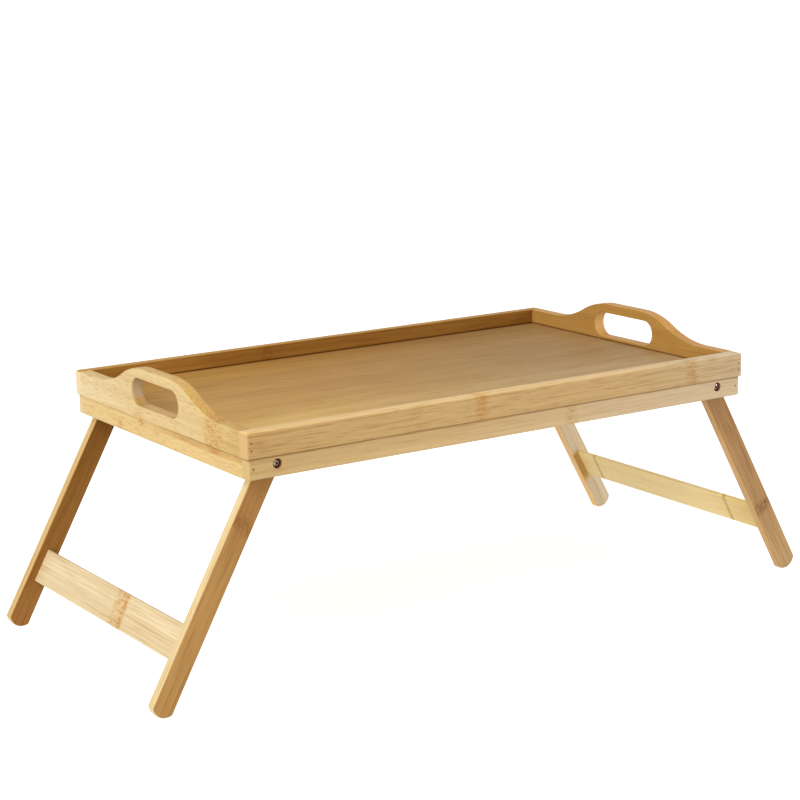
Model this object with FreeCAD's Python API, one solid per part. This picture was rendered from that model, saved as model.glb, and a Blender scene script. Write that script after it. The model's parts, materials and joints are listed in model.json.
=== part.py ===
import FreeCAD, Part
import math
import os

# Bed tray table of solid bamboo: a shallow tray on two pairs of folding legs.
# Millimetres and degrees. The table stands on z = 0 with its centre over the origin.
# x runs along the tray, y across it; the left legs are at -x and the front is at -y.

# Tray frame
tray_length = 500.0
tray_width = 300.0
rail_thickness = 11.0
rail_height = 20.6
corner_round = 2.0        # upright outer corners
edge_ease = 0.8           # small flat on every edge that a hand meets

# Panel, held by a slightly thinner tongue in a groove of the rails and handle boards
panel_thickness = 4.0
tongue_thickness = 3.8
groove_depth = 2.5
groove_lip = 3.0          # wood left under the groove
tongue_play = 1.0         # gap over the tongue, which shows as a dark line round the panel
panel_gap = 0.4           # room for the panel to swell, at its face and in the groove

# Handles in the end boards
slot_length = 82.0
slot_height = 22.8
slot_above_panel = 3.2
grip_depth = 8.7          # wood between the slot and the crest
crest_length = 43.0       # straight top of the hump
shoulder_run = 84.0       # length of each shoulder, from the crest down to the rail's height
crest_share = 0.45        # share of the shoulder's two radii that the upper one takes

# Aprons, the lower frame that carries and hides the legs
apron_setback = 1.7
arris_round = 1.0         # bottom edges of the short aprons; the legs bear on the inner one
leg_cover = 0.8           # how far the apron hangs below a folded leg
fold_clearance = 0.6      # between a folded leg and the panel

# Legs
leg_width = 18.8
leg_thickness = 9.0
leg_reach = 210.8         # pivot to the tip of the foot
leg_splay = 29.1          # from upright, when the leg bears on the apron
foot_crown = 5.0          # height of the foot's arc
stop_gap = 0.2            # between an opened leg and the apron's edge
leg_ease = 1.2            # small flat round both wide faces

# Crossbar of each leg pair
crossbar_height = 29.2
crossbar_thickness = 4.0
crossbar_above_tip = 41.4
crossbar_ease = 0.6
housing_depth = 4.0       # how far the bar is let into each leg

# Pivot screws, washers and lock nuts
screw_diameter = 3.0
screw_clearance = 0.05    # round the screw in the apron, washer and leg
end_play = 0.05           # under the screw's head and outside the washer
head_overhang = 1.3
head_height = 2.4
head_recess = 1.6         # how far the head lies below the apron's face
head_ease = 0.9
counterbore_room = 1.2    # round the head
driver_width = 0.9
driver_length = 3.2
driver_depth = 1.2
washer_rim = 3.0
washer_thickness = 1.0
nut_wall = 1.25
nut_height = 4.0
screw_tail = 0.6          # thread that stands out of the nut

# Brads at the corners: flat wire with a small head, driven flush
brad_width = 1.2
brad_depth = 1.0
brad_length = 22.0
brad_head_width = 1.9
brad_head_height = 0.8
brad_above_lip = 3.2      # lower brad of each pair
brad_spacing = 5.7

# Heights that follow from the legs: the foot's arc touches the floor when the leg is open
splay = math.radians(leg_splay)
foot_radius = ((leg_width / 2) ** 2 + foot_crown ** 2) / (2 * foot_crown)
foot_centre = leg_reach - foot_radius
pivot_height = foot_centre * math.cos(splay) + foot_radius
apron_bottom = pivot_height - leg_width / 2 - leg_cover
panel_bottom = pivot_height + leg_width / 2 + fold_clearance
panel_top = panel_bottom + panel_thickness
rail_bottom = panel_bottom - groove_lip
rail_top = rail_bottom + rail_height
slot_bottom = panel_top + slot_above_panel
crest_top = slot_bottom + slot_height + grip_depth

# Plan sizes: the aprons are flush with the rails inside, and the legs clear both
half_length = tray_length / 2
half_width = tray_width / 2
inner_length = half_length - rail_thickness
inner_width = half_width - rail_thickness
apron_thickness = rail_thickness - apron_setback
groove_top = panel_bottom + tongue_thickness + tongue_play
leg_face = inner_width - end_play - washer_thickness

# The pivot stands where the open leg just clears the rounded edge of the short apron
edge_drop = leg_width / 2 + leg_cover - arris_round
edge_reach = (leg_width / 2 + stop_gap + arris_round + edge_drop * math.sin(splay)) / math.cos(splay)
pivot_x = inner_length + arris_round - edge_reach

# Fastener sizes
screw_radius = screw_diameter / 2
bore_radius = screw_radius + screw_clearance
head_radius = screw_radius + head_overhang
counterbore_radius = head_radius + counterbore_room
head_seat = half_width - apron_setback - head_recess - head_height

x_axis = FreeCAD.Vector(1, 0, 0)
y_axis = FreeCAD.Vector(0, 1, 0)
z_axis = FreeCAD.Vector(0, 0, 1)
origin = FreeCAD.Vector(0, 0, 0)


def block(x_span, y_span, z_span):
    corner = FreeCAD.Vector(x_span[0], y_span[0], z_span[0])
    return Part.makeBox(x_span[1] - x_span[0], y_span[1] - y_span[0], z_span[1] - z_span[0], corner)


def rod(radius, start, length, direction):
    return Part.makeCylinder(radius, length, start, direction)


def mirrored(shape, normal):
    return shape.mirror(origin, normal)


def edges_where(shape, wanted):
    # The edges whose bounding box passes the test.
    return [edge for edge in shape.Edges if wanted(edge.BoundBox)]


def rounded(shape, radius, wanted):
    return shape.makeFillet(radius, edges_where(shape, wanted))


def eased(shape, flat, wanted):
    return shape.makeChamfer(flat, edges_where(shape, wanted))


def upright_at(x, y):
    # Test for an upright edge at one place in plan.
    return lambda box: box.ZLength > box.XLength + box.YLength and near(box.XMax, x) and near(box.YMax, y)


def near(value, target):
    return abs(value - target) < 0.001


# Tray frame

def panel_groove():
    # The groove of all four sides as one slab, stopped inside the ends of the long rails.
    reach_x = inner_length + groove_depth
    reach_y = inner_width + groove_depth
    return block((-reach_x, reach_x), (-reach_y, reach_y), (panel_bottom, groove_top))


def front_rail():
    rail = block((-half_length, half_length), (-half_width, -inner_width), (rail_bottom, rail_top))
    for x in (-half_length, half_length):
        rail = rounded(rail, corner_round, upright_at(x, -half_width))
    outer_bottom = lambda box: near(box.ZMax, rail_bottom) and not near(box.YMin, -inner_width)
    rail = eased(rail, edge_ease, lambda box: near(box.ZMin, rail_top) or outer_bottom(box))
    return rail.cut(panel_groove()).cut(rail_brads())


def hump_outline():
    # End board seen along x: straight bottom, and a hump on two reverse-curve shoulders.
    rise = crest_top - rail_top
    turn = 2 * math.atan2(rise, shoulder_run)
    radii = shoulder_run / math.sin(turn)
    upper_radius = crest_share * radii
    lower_radius = radii - upper_radius
    crest_end = crest_length / 2
    shoulder_end = crest_end + shoulder_run

    def upper_point(angle):
        drop = upper_radius * (1 - math.cos(angle))
        return crest_end + upper_radius * math.sin(angle), crest_top - drop

    def lower_point(angle):
        lift = lower_radius * (1 - math.cos(angle))
        return shoulder_end - lower_radius * math.sin(angle), rail_top + lift

    def point(side, place):
        return FreeCAD.Vector(0, side * place[0], place[1])

    edges = [Part.LineSegment(point(-1, (crest_end, crest_top)), point(1, (crest_end, crest_top)))]
    for side in (-1, 1):
        upper = [point(side, upper_point(angle)) for angle in (0, turn / 2, turn)]
        lower = [point(side, lower_point(angle)) for angle in (turn, turn / 2, 0)]
        corner = point(side, (inner_width, rail_top))
        foot = point(side, (inner_width, rail_bottom))
        edges += [Part.Arc(*upper), Part.Arc(*lower)]
        edges += [Part.LineSegment(lower[2], corner), Part.LineSegment(corner, foot)]
    feet = [point(side, (inner_width, rail_bottom)) for side in (-1, 1)]
    edges.append(Part.LineSegment(*feet))
    return Part.Wire(Part.__sortEdges__([edge.toShape() for edge in edges]))


def hand_slot():
    # Round-ended slot through the end board.
    radius = slot_height / 2
    straight = slot_length / 2 - radius
    middle = slot_bottom + radius
    z_span = (slot_bottom, slot_bottom + slot_height)
    slot = block((-half_length, -inner_length), (-straight, straight), z_span)
    for y in (-straight, straight):
        slot = slot.fuse(rod(radius, FreeCAD.Vector(-half_length, y, middle), rail_thickness, x_axis))
    return slot.removeSplitter()


def left_handle_board():
    board = Part.Face(hump_outline()).extrude(x_axis * rail_thickness)
    board.translate(x_axis * -half_length)
    board = board.cut(hand_slot())
    on_a_face = lambda box: near(box.XMin, box.XMax) and not near(box.ZMax, rail_bottom)
    at_an_end = lambda box: near(box.YMin, box.YMax)
    board = eased(board, edge_ease, lambda box: on_a_face(box) and not at_an_end(box))
    return board.cut(panel_groove()).cut(rail_brads())


def tray_panel():
    # Full thickness between the boards, and a thinner tongue all round that lies in the groove.
    field_x = inner_length - panel_gap
    field_y = inner_width - panel_gap
    tongue_x = field_x + groove_depth
    tongue_y = field_y + groove_depth
    tongue_top = panel_bottom + tongue_thickness
    field = block((-field_x, field_x), (-field_y, field_y), (panel_bottom, panel_top))
    tongue = block((-tongue_x, tongue_x), (-tongue_y, tongue_y), (panel_bottom, tongue_top))
    return field.fuse(tongue).removeSplitter()


# Aprons

def pivot_bore():
    # Bore and counterbore of one pivot in the front apron.
    outer_face = -half_width + apron_setback
    bore = rod(bore_radius, FreeCAD.Vector(pivot_x, outer_face, pivot_height), apron_thickness, y_axis)
    recess_depth = head_recess + head_height
    recess = rod(counterbore_radius, FreeCAD.Vector(pivot_x, outer_face, pivot_height), recess_depth, y_axis)
    return bore.fuse(recess)


def front_apron():
    end = half_length - apron_setback
    outer_face = -half_width + apron_setback
    apron = block((-end, end), (outer_face, -inner_width), (apron_bottom, rail_bottom))
    for x in (-end, end):
        apron = rounded(apron, corner_round, upright_at(x, outer_face))
    apron = eased(apron, edge_ease, lambda box: near(box.ZMax, apron_bottom))
    for side in (pivot_bore(), mirrored(pivot_bore(), x_axis)):
        apron = apron.cut(side)
    return apron.cut(apron_brads())


def left_apron():
    outer_face = -half_length + apron_setback
    apron = block((outer_face, -inner_length), (-inner_width, inner_width), (apron_bottom, rail_bottom))
    across = lambda box: box.YLength > inner_width and near(box.ZMax, apron_bottom)
    return rounded(apron, arris_round, across).cut(apron_brads())


# Brads

def brad(x, face, z):
    # One brad driven from a front face, its head flush.
    across = (x - brad_width / 2, x + brad_width / 2)
    shank = block(across, (face, face + brad_length), (z - brad_depth / 2, z + brad_depth / 2))
    head = block(across, (face, face + brad_head_height), (z - brad_head_width / 2, z + brad_head_width / 2))
    return shank.fuse(head)


def at_all_corners(solids):
    # Repeats the brads of the right front corner at the other three.
    solids = solids + [mirrored(solid, x_axis) for solid in solids]
    solids = solids + [mirrored(solid, y_axis) for solid in solids]
    return Part.makeCompound(solids)


def rail_brads():
    # Two at each corner, in the wood outside the groove.
    x = half_length - (rail_thickness - groove_depth) / 2
    lowest = panel_bottom + brad_above_lip
    heights = (lowest, lowest + brad_spacing)
    return at_all_corners([brad(x, -half_width, z) for z in heights])


def apron_brads():
    # One at each corner, in the middle of the short apron's end.
    x = inner_length + apron_thickness / 2
    z = (apron_bottom + rail_bottom) / 2
    return at_all_corners([brad(x, -half_width + apron_setback, z)])


# Leg pair, made upright with its pivot at the origin and then swung out

def leg_blank():
    # Round about the pivot at the top, a flatter arc at the foot.
    half = leg_width / 2
    shoulder = foot_centre + math.sqrt(foot_radius ** 2 - half ** 2)

    def point(x, z):
        return FreeCAD.Vector(x, -leg_face, z)

    top = Part.Arc(point(-half, 0), point(0, half), point(half, 0))
    foot = Part.Arc(point(-half, -shoulder), point(0, -leg_reach), point(half, -shoulder))
    sides = [Part.LineSegment(point(x, 0), point(x, -shoulder)) for x in (-half, half)]
    outline = Part.Wire(Part.__sortEdges__([edge.toShape() for edge in [top, foot] + sides]))
    blank = Part.Face(outline).extrude(y_axis * leg_thickness)
    return eased(blank, leg_ease, lambda box: near(box.YMin, box.YMax))


def front_leg():
    bore = rod(bore_radius, FreeCAD.Vector(0, -leg_face, 0), leg_thickness, y_axis)
    return leg_blank().cut(bore).cut(crossbar())


def crossbar():
    # Flat bar on the legs' centre line, let into both.
    end = leg_face - leg_thickness + housing_depth
    bottom = crossbar_above_tip - leg_reach
    half = crossbar_thickness / 2
    bar = block((-half, half), (-end, end), (bottom, bottom + crossbar_height))
    return eased(bar, crossbar_ease, lambda box: box.YLength > end)


def pivot_screw():
    # Pan-head screw along +y; its head lies in the apron's counterbore.
    seat = -head_seat - end_play
    nut_face = -leg_face + leg_thickness + nut_height
    shank = rod(screw_radius, FreeCAD.Vector(0, seat, 0), nut_face + screw_tail - seat, y_axis)
    head = rod(head_radius, FreeCAD.Vector(0, seat - head_height, 0), head_height, y_axis)
    top = seat - head_height
    head = eased(head, head_ease, lambda box: near(box.YMin, top) and near(box.YMax, top))
    for sizes in ((driver_length, driver_width), (driver_width, driver_length)):
        across, tall = sizes[0] / 2, sizes[1] / 2
        head = head.cut(block((-across, across), (top, top + driver_depth), (-tall, tall)))
    return shank.fuse(head)


def washer():
    outer_face = FreeCAD.Vector(0, -leg_face - washer_thickness, 0)
    ring = rod(screw_radius + washer_rim, outer_face, washer_thickness, y_axis)
    return ring.cut(rod(bore_radius, FreeCAD.Vector(0, -inner_width, 0), rail_thickness, y_axis))


def lock_nut():
    # Hexagon on the leg's inner face, with the screw's thread size through it.
    face = -leg_face + leg_thickness
    corner = (screw_radius + nut_wall) / math.cos(math.pi / 6)
    corners = [FreeCAD.Vector(corner * math.cos(i * math.pi / 3), face, corner * math.sin(i * math.pi / 3))
               for i in range(7)]
    hexagon = Part.Face(Part.makePolygon(corners)).extrude(y_axis * nut_height)
    return hexagon.cut(rod(screw_radius, FreeCAD.Vector(0, face, 0), nut_height, y_axis))


def leg_pair(side_name, side):
    # All pieces of one pair, swung out to the given side (-1 left, 1 right).
    pieces = {side_name + "_crossbar": crossbar()}
    makers = {"leg": front_leg, "pivot_screw": pivot_screw, "washer": washer, "lock_nut": lock_nut}
    for name, make in makers.items():
        pieces[side_name + "_front_" + name] = make()
        back = make()
        back.rotate(origin, z_axis, 180)
        pieces[side_name + "_back_" + name] = back
    for shape in pieces.values():
        shape.rotate(origin, y_axis, -side * leg_splay)
        shape.translate(FreeCAD.Vector(side * pivot_x, 0, pivot_height))
    return pieces


def all_pieces():
    pieces = {
        "front_rail": front_rail(),
        "back_rail": mirrored(front_rail(), y_axis),
        "left_handle_board": left_handle_board(),
        "right_handle_board": mirrored(left_handle_board(), x_axis),
        "tray_panel": tray_panel(),
        "front_apron": front_apron(),
        "back_apron": mirrored(front_apron(), y_axis),
        "left_apron": left_apron(),
        "right_apron": mirrored(left_apron(), x_axis),
        "rail_brads": rail_brads(),
        "apron_brads": apron_brads(),
    }
    pieces.update(leg_pair("left", -1))
    pieces.update(leg_pair("right", 1))
    return pieces


os.makedirs("parts", exist_ok=True)
for node, shape in all_pieces().items():
    shape.exportStep("parts/" + node + ".step")
    print(node, len(shape.Solids), "valid" if shape.isValid() else "NOT VALID")
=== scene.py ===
import bmesh
import bpy
import json
import math
from mathutils import Matrix, Vector


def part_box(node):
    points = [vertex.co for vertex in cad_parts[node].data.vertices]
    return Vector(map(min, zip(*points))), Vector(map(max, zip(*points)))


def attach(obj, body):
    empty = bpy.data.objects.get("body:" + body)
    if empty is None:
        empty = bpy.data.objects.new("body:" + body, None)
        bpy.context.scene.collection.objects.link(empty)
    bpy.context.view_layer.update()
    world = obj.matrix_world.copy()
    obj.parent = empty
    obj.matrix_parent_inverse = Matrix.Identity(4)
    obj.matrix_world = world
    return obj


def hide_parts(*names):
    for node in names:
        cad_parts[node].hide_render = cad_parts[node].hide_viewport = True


# Bed tray table in solid bamboo: rounded boards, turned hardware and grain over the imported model.
# Metres. x runs along the tray, y across it to the back, z up.

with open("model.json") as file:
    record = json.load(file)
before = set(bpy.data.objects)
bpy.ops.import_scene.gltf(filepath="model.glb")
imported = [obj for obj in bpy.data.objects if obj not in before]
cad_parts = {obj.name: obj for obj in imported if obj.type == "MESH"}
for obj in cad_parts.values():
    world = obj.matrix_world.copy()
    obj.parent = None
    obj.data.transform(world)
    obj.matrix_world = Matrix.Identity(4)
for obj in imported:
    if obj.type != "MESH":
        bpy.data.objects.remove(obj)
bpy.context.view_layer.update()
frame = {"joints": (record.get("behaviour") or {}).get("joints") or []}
mm = 0.001
white = (1.0, 1.0, 1.0, 1.0)


# Camera, stage and light

photoView = {
    "place": (-0.97501, -1.45084, 0.56584),
    "turn": 33.57,  # degrees from +y towards +x
    "tip": 12.49,  # downwards
    "roll": -0.95,
    "lens": 92.02,
    "sensor": 36.0,
}

studio = {
    "ambient": 0.38,
    "floorColour": (0.82, 0.82, 0.82, 1.0),
    "floorGlow": 0.7,  # what the camera sees added to the floor, so that it stays white
    "floorSize": 3.0,
    "floorDrop": 0.2 * mm,
    "lamps": {
        # name: place, aimed at, size, watts, colour
        "leftKey": ((-6.8, -1.5, 0.95), (0.0, 0.0, 0.12), 3.0, 320.0, (1.0, 0.985, 0.95)),
        "rightFill": ((1.5, -1.4, 0.5), (0.2, 0.0, 0.15), 0.8, 13.0, (0.88, 0.95, 1.0)),
        "nearTop": ((-0.9, -0.7, 1.1), (-0.1, -0.05, 0.2), 0.6, 5.8, (1.0, 1.0, 1.0)),
        "topSoft": ((-0.4, 0.3, 2.8), (0.0, 0.0, 0.15), 2.0, 15.0, (1.0, 1.0, 1.0)),
    },
}


def addCamera():
    data = bpy.data.cameras.new("photoCamera")
    data.lens = photoView["lens"]
    data.sensor_width = photoView["sensor"]
    camera = bpy.data.objects.new("photoCamera", data)
    turn, tip, roll = (math.radians(photoView[key]) for key in ("turn", "tip", "roll"))
    aim = Matrix.Rotation(-turn, 4, "Z") @ Matrix.Rotation(math.pi / 2 - tip, 4, "X")
    camera.matrix_world = Matrix.Translation(photoView["place"]) @ aim @ Matrix.Rotation(roll, 4, "Z")
    bpy.context.scene.collection.objects.link(camera)
    bpy.context.scene.camera = camera


def addNode(tree, kind, values=None, **settings):
    node = tree.nodes.new("ShaderNode" + kind)
    for key, value in settings.items():
        setattr(node, key, value)
    for key, value in (values or {}).items():
        if isinstance(value, bpy.types.NodeSocket):
            tree.links.new(value, node.inputs[key])
        else:
            node.inputs[key].default_value = value
    return node


def calc(tree, operation, *values):
    return addNode(tree, "Math", dict(enumerate(values)), operation=operation).outputs[0]


def seenDirectly(tree):
    # Camera, mirror and glass rays see the white background.
    path = addNode(tree, "LightPath").outputs
    seen = calc(tree, "ADD", path["Is Camera Ray"], path["Is Glossy Ray"])
    return calc(tree, "MINIMUM", calc(tree, "ADD", seen, path["Is Transmission Ray"]), 1.0)


def addWorld():
    world = bpy.data.worlds.new("studioAir")
    world.use_nodes = True
    tree = world.node_tree
    tree.nodes.clear()
    soft = addNode(tree, "Background", {"Color": white, "Strength": studio["ambient"]})
    plain = addNode(tree, "Background", {"Color": white, "Strength": 1.0})
    mix = addNode(tree, "MixShader", {0: seenDirectly(tree), 1: soft.outputs[0], 2: plain.outputs[0]})
    addNode(tree, "OutputWorld", {"Surface": mix.outputs[0]})
    bpy.context.scene.world = world


def addFloor():
    bm = bmesh.new()
    bmesh.ops.create_grid(bm, x_segments=1, y_segments=1, size=studio["floorSize"])
    bmesh.ops.translate(bm, vec=(0, 0, -studio["floorDrop"]), verts=bm.verts)
    mesh = bpy.data.meshes.new("studioFloor")
    bm.to_mesh(mesh)
    bm.free()
    floor = bpy.data.objects.new("studioFloor", mesh)
    bpy.context.scene.collection.objects.link(floor)
    paint = bpy.data.materials.new("studioFloorPaint")
    paint.use_nodes = True
    tree = paint.node_tree
    tree.nodes.clear()
    matt = addNode(tree, "BsdfDiffuse", {"Color": studio["floorColour"]})
    strength = calc(tree, "MULTIPLY", seenDirectly(tree), studio["floorGlow"])
    glow = addNode(tree, "Emission", {"Strength": strength})
    both = addNode(tree, "AddShader", {0: matt.outputs[0], 1: glow.outputs[0]})
    clear = addNode(tree, "BsdfTransparent")
    under = addNode(tree, "NewGeometry").outputs["Backfacing"]  # seen from below, the floor is clear
    mix = addNode(tree, "MixShader", {0: under, 1: both.outputs[0], 2: clear.outputs[0]})
    addNode(tree, "OutputMaterial", {"Surface": mix.outputs[0]})
    mesh.materials.append(paint)


def addLamps():
    for name, (place, target, size, watts, colour) in studio["lamps"].items():
        data = bpy.data.lights.new(name, "AREA")
        data.shape = "DISK"
        data.size = size
        data.energy = watts
        data.color = colour
        lamp = bpy.data.objects.new(name, data)
        lamp.location = place
        lamp.rotation_euler = (Vector(target) - Vector(place)).to_track_quat("-Z", "Y").to_euler()
        bpy.context.scene.collection.objects.link(lamp)


addCamera()
addWorld()
addFloor()
addLamps()
bpy.context.scene.view_settings.view_transform = "Standard"
print("camera, floor and lamps are in place")


# Node groups for the finishes

def newGroup(name, inputs, outputs):
    tree = bpy.data.node_groups.new(name, "ShaderNodeTree")
    for label, kind, value in inputs:
        socket = tree.interface.new_socket(label, in_out="INPUT", socket_type="NodeSocket" + kind)
        if value is not None:
            socket.default_value = value
    for label, kind in outputs:
        tree.interface.new_socket(label, in_out="OUTPUT", socket_type="NodeSocket" + kind)
    return tree, tree.nodes.new("NodeGroupInput").outputs, tree.nodes.new("NodeGroupOutput").inputs


def grainNoise(tree, place, along, across, detail=2.0):
    # Noise drawn out along x: one spot is about `along` long and `across` wide.
    scale = addNode(tree, "CombineXYZ")
    for axis, size in zip("XYZ", (along, across, across)):
        tree.links.new(calc(tree, "DIVIDE", 1.0, size), scale.inputs[axis])
    stretched = addNode(tree, "VectorMath", {0: place, 1: scale.outputs[0]}, operation="MULTIPLY")
    values = {"Vector": stretched.outputs[0], "Scale": 1.0, "Detail": detail, "Roughness": 0.55}
    return addNode(tree, "TexNoise", values).outputs[0]


def between(tree, value, low, high):
    # Rises smoothly from 0 at low to 1 at high.
    values = {"Value": value, "From Min": low, "From Max": high}
    return addNode(tree, "MapRange", values, interpolation_type="SMOOTHSTEP").outputs[0]


def swayed(tree, value, share, base):
    # The base, raised and lowered by a value that lies about 0.5.
    return calc(tree, "MULTIPLY_ADD", calc(tree, "SUBTRACT", value, 0.5), share, base)


def mixColour(tree, share, first, second, blend="MIX"):
    node = addNode(tree, "Mix", {0: share, 6: first, 7: second}, data_type="RGBA", blend_type=blend)
    return node.outputs[2]


def stained(tree, mask, given, made):
    # Ends a group that tints the colour it is given.
    tree.links.new(mixColour(tree, mask, given["Color"], given["Tint"], "MULTIPLY"), made["Color"])
    return tree


grainTune = {
    "seedStep": (1.37, 0.61, 0.93),
    "streakDetail": 3.0,
    "cloud": (0.11, 0.03), "cloudShare": 0.5,
    "fibreDetail": 2.5, "darkFibre": (0.53, 0.7), "brightFibre": (0.47, 0.3), "brightShare": 0.6,
    "line": (0.07, 0.0016, 1.5), "scratch": (0.57, 0.68),
    "seam": (0.46, 0.5), "seamShare": 0.8,
    "speck": (0.6, 0.7), "speckShare": 0.55,
    "rough": 0.42, "streakRough": 0.18, "fibreRough": 0.25, "endRough": 0.15,
    "streakHeight": 0.5,
}


def grainGroup():
    # Laminated bamboo along x: strips stacked in z, long streaks, fine fibres, and dots on cut ends.
    tree, given, made = newGroup("bambooGrain", [
        ("Vector", "Vector", None),
        ("Pale", "Color", (0.85, 0.62, 0.33, 1)),
        ("Deep", "Color", (0.62, 0.38, 0.16, 1)),
        ("Fibre", "Color", (0.35, 0.18, 0.06, 1)),
        ("End Colour", "Color", (0.75, 0.52, 0.33, 1)),
        ("End", "Float", 0.0),
        ("Seed", "Float", 0.0),
        ("Strip Width", "Float", 0.007),
        ("Strip Contrast", "Float", 0.35),
        ("Streak Length", "Float", 0.25),
        ("Streak Width", "Float", 0.004),
        ("Streak Contrast", "Float", 1.3),
        ("Fibre Length", "Float", 0.03),
        ("Fibre Width", "Float", 0.0013),
        ("Fibre Amount", "Float", 0.45),
        ("Line Amount", "Float", 0.35),
    ], [("Color", "Color"), ("Roughness", "Float"), ("Height", "Float")])
    tune = grainTune
    shift = addNode(tree, "CombineXYZ")
    for axis, step in zip("XYZ", tune["seedStep"]):
        tree.links.new(calc(tree, "MULTIPLY", given["Seed"], step), shift.inputs[axis])
    place = addNode(tree, "VectorMath", {0: given["Vector"], 1: shift.outputs[0]}).outputs[0]
    lane = calc(tree, "DIVIDE", addNode(tree, "SeparateXYZ", {0: place}).outputs["Z"], given["Strip Width"])
    strip = addNode(tree, "TexWhiteNoise", {"W": calc(tree, "FLOOR", lane)}, noise_dimensions="1D")
    streak = grainNoise(tree, place, given["Streak Length"], given["Streak Width"], tune["streakDetail"])
    cloud = grainNoise(tree, place, *tune["cloud"])
    fibre = grainNoise(tree, place, given["Fibre Length"], given["Fibre Width"], tune["fibreDetail"])
    line = grainNoise(tree, place, *tune["line"])
    tone = swayed(tree, strip.outputs["Value"], given["Strip Contrast"], 0.5)
    tone = swayed(tree, streak, given["Streak Contrast"], tone)
    tone = swayed(tree, cloud, tune["cloudShare"], tone)
    colour = mixColour(tree, tone, given["Deep"], given["Pale"])
    dark = calc(tree, "MULTIPLY", between(tree, fibre, *tune["darkFibre"]), given["Fibre Amount"])
    bright = calc(tree, "MULTIPLY", between(tree, fibre, *tune["brightFibre"]), given["Fibre Amount"])
    scratch = calc(tree, "MULTIPLY", between(tree, line, *tune["scratch"]), given["Line Amount"])
    colour = mixColour(tree, dark, colour, given["Fibre"])
    colour = mixColour(tree, calc(tree, "MULTIPLY", bright, tune["brightShare"]), colour, given["Pale"])
    colour = mixColour(tree, scratch, colour, given["Fibre"])
    seam = calc(tree, "ABSOLUTE", calc(tree, "SUBTRACT", calc(tree, "FRACT", lane), 0.5))
    depth = calc(tree, "MULTIPLY", given["Strip Contrast"], tune["seamShare"])
    seam = calc(tree, "MULTIPLY", between(tree, seam, *tune["seam"]), depth)
    colour = mixColour(tree, seam, colour, given["Fibre"])
    speck = calc(tree, "MULTIPLY", between(tree, fibre, *tune["speck"]), tune["speckShare"])
    ends = mixColour(tree, speck, given["End Colour"], given["Fibre"])
    tree.links.new(mixColour(tree, given["End"], colour, ends), made["Color"])
    rough = swayed(tree, streak, tune["streakRough"], tune["rough"])
    rough = calc(tree, "MULTIPLY_ADD", dark, tune["fibreRough"], rough)
    tree.links.new(calc(tree, "MULTIPLY_ADD", given["End"], tune["endRough"], rough), made["Roughness"])
    height = calc(tree, "SUBTRACT", calc(tree, "MULTIPLY", streak, tune["streakHeight"]), dark)
    tree.links.new(height, made["Height"])
    return tree


knuckleTune = {
    "wander": (0.02, 0.0035), "dash": (0.005, 0.0016), "dashRange": (0.6, 0.42),
    "bandRange": (1.0, 0.1), "tallRange": (1.0, 0.5),
}


def knuckleGroup():
    # One growth node of the cane: a fuzzy band of short dashes across the grain.
    tree, given, made = newGroup("bambooKnuckle", [
        ("Color", "Color", white),
        ("Vector", "Vector", None),
        ("Tint", "Color", (0.8, 0.55, 0.27, 1)),
        ("Place", "Float", 0.0),
        ("Width", "Float", 0.004),
        ("Slant", "Float", 0.0),
        ("Level", "Float", 0.0),
        ("Tall", "Float", 1.0),
        ("Wander", "Float", 0.006),
        ("Broken", "Float", 0.75),
        ("Amount", "Float", 0.8),
    ], [("Color", "Color")])
    tune = knuckleTune
    parts = addNode(tree, "SeparateXYZ", {0: given["Vector"]}).outputs
    offset = calc(tree, "SUBTRACT", parts["X"], given["Place"])
    offset = calc(tree, "MULTIPLY_ADD", parts["Z"], given["Slant"], offset)
    offset = swayed(tree, grainNoise(tree, given["Vector"], *tune["wander"]), given["Wander"], offset)
    reach = calc(tree, "DIVIDE", calc(tree, "ABSOLUTE", offset), given["Width"])
    rise = calc(tree, "ABSOLUTE", calc(tree, "SUBTRACT", parts["Z"], given["Level"]))
    rise = between(tree, calc(tree, "DIVIDE", rise, given["Tall"]), *tune["tallRange"])
    band = calc(tree, "MULTIPLY", between(tree, reach, *tune["bandRange"]), rise)
    dash = between(tree, grainNoise(tree, given["Vector"], *tune["dash"]), *tune["dashRange"])
    whole = calc(tree, "SUBTRACT", 1.0, calc(tree, "MULTIPLY", dash, given["Broken"]))
    mask = calc(tree, "MULTIPLY", calc(tree, "MULTIPLY", band, whole), given["Amount"])
    return stained(tree, mask, given, made)


patchTune = {"ragged": (0.05, 0.002), "raggedShare": 0.5}


def patchGroup():
    # A soft-edged stretch of board tinted apart: used both for tones of the wood and for painted light and
    # shade.
    tree, given, made = newGroup("tonePatch", [
        ("Color", "Color", white),
        ("Vector", "Vector", None),
        ("Tint", "Color", (0.9, 0.8, 0.6, 1)),
        ("Centre X", "Float", 0.0),
        ("Centre Z", "Float", 0.0),
        ("Reach X", "Float", 1.0),
        ("Reach Z", "Float", 1.0),
        ("Soft", "Float", 0.6),
        ("Amount", "Float", 1.0),
    ], [("Color", "Color")])
    parts = addNode(tree, "SeparateXYZ", {0: given["Vector"]}).outputs
    core = calc(tree, "SUBTRACT", 1.0, given["Soft"])
    ragged = grainNoise(tree, given["Vector"], *patchTune["ragged"])
    mask = given["Amount"]
    for axis in "XZ":
        away = calc(tree, "ABSOLUTE", calc(tree, "SUBTRACT", parts[axis], given["Centre " + axis]))
        away = calc(tree, "DIVIDE", away, given["Reach " + axis])
        away = swayed(tree, ragged, patchTune["raggedShare"], away)
        mask = calc(tree, "MULTIPLY", mask, between(tree, away, 1.0, core))
    return stained(tree, mask, given, made)


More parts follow.
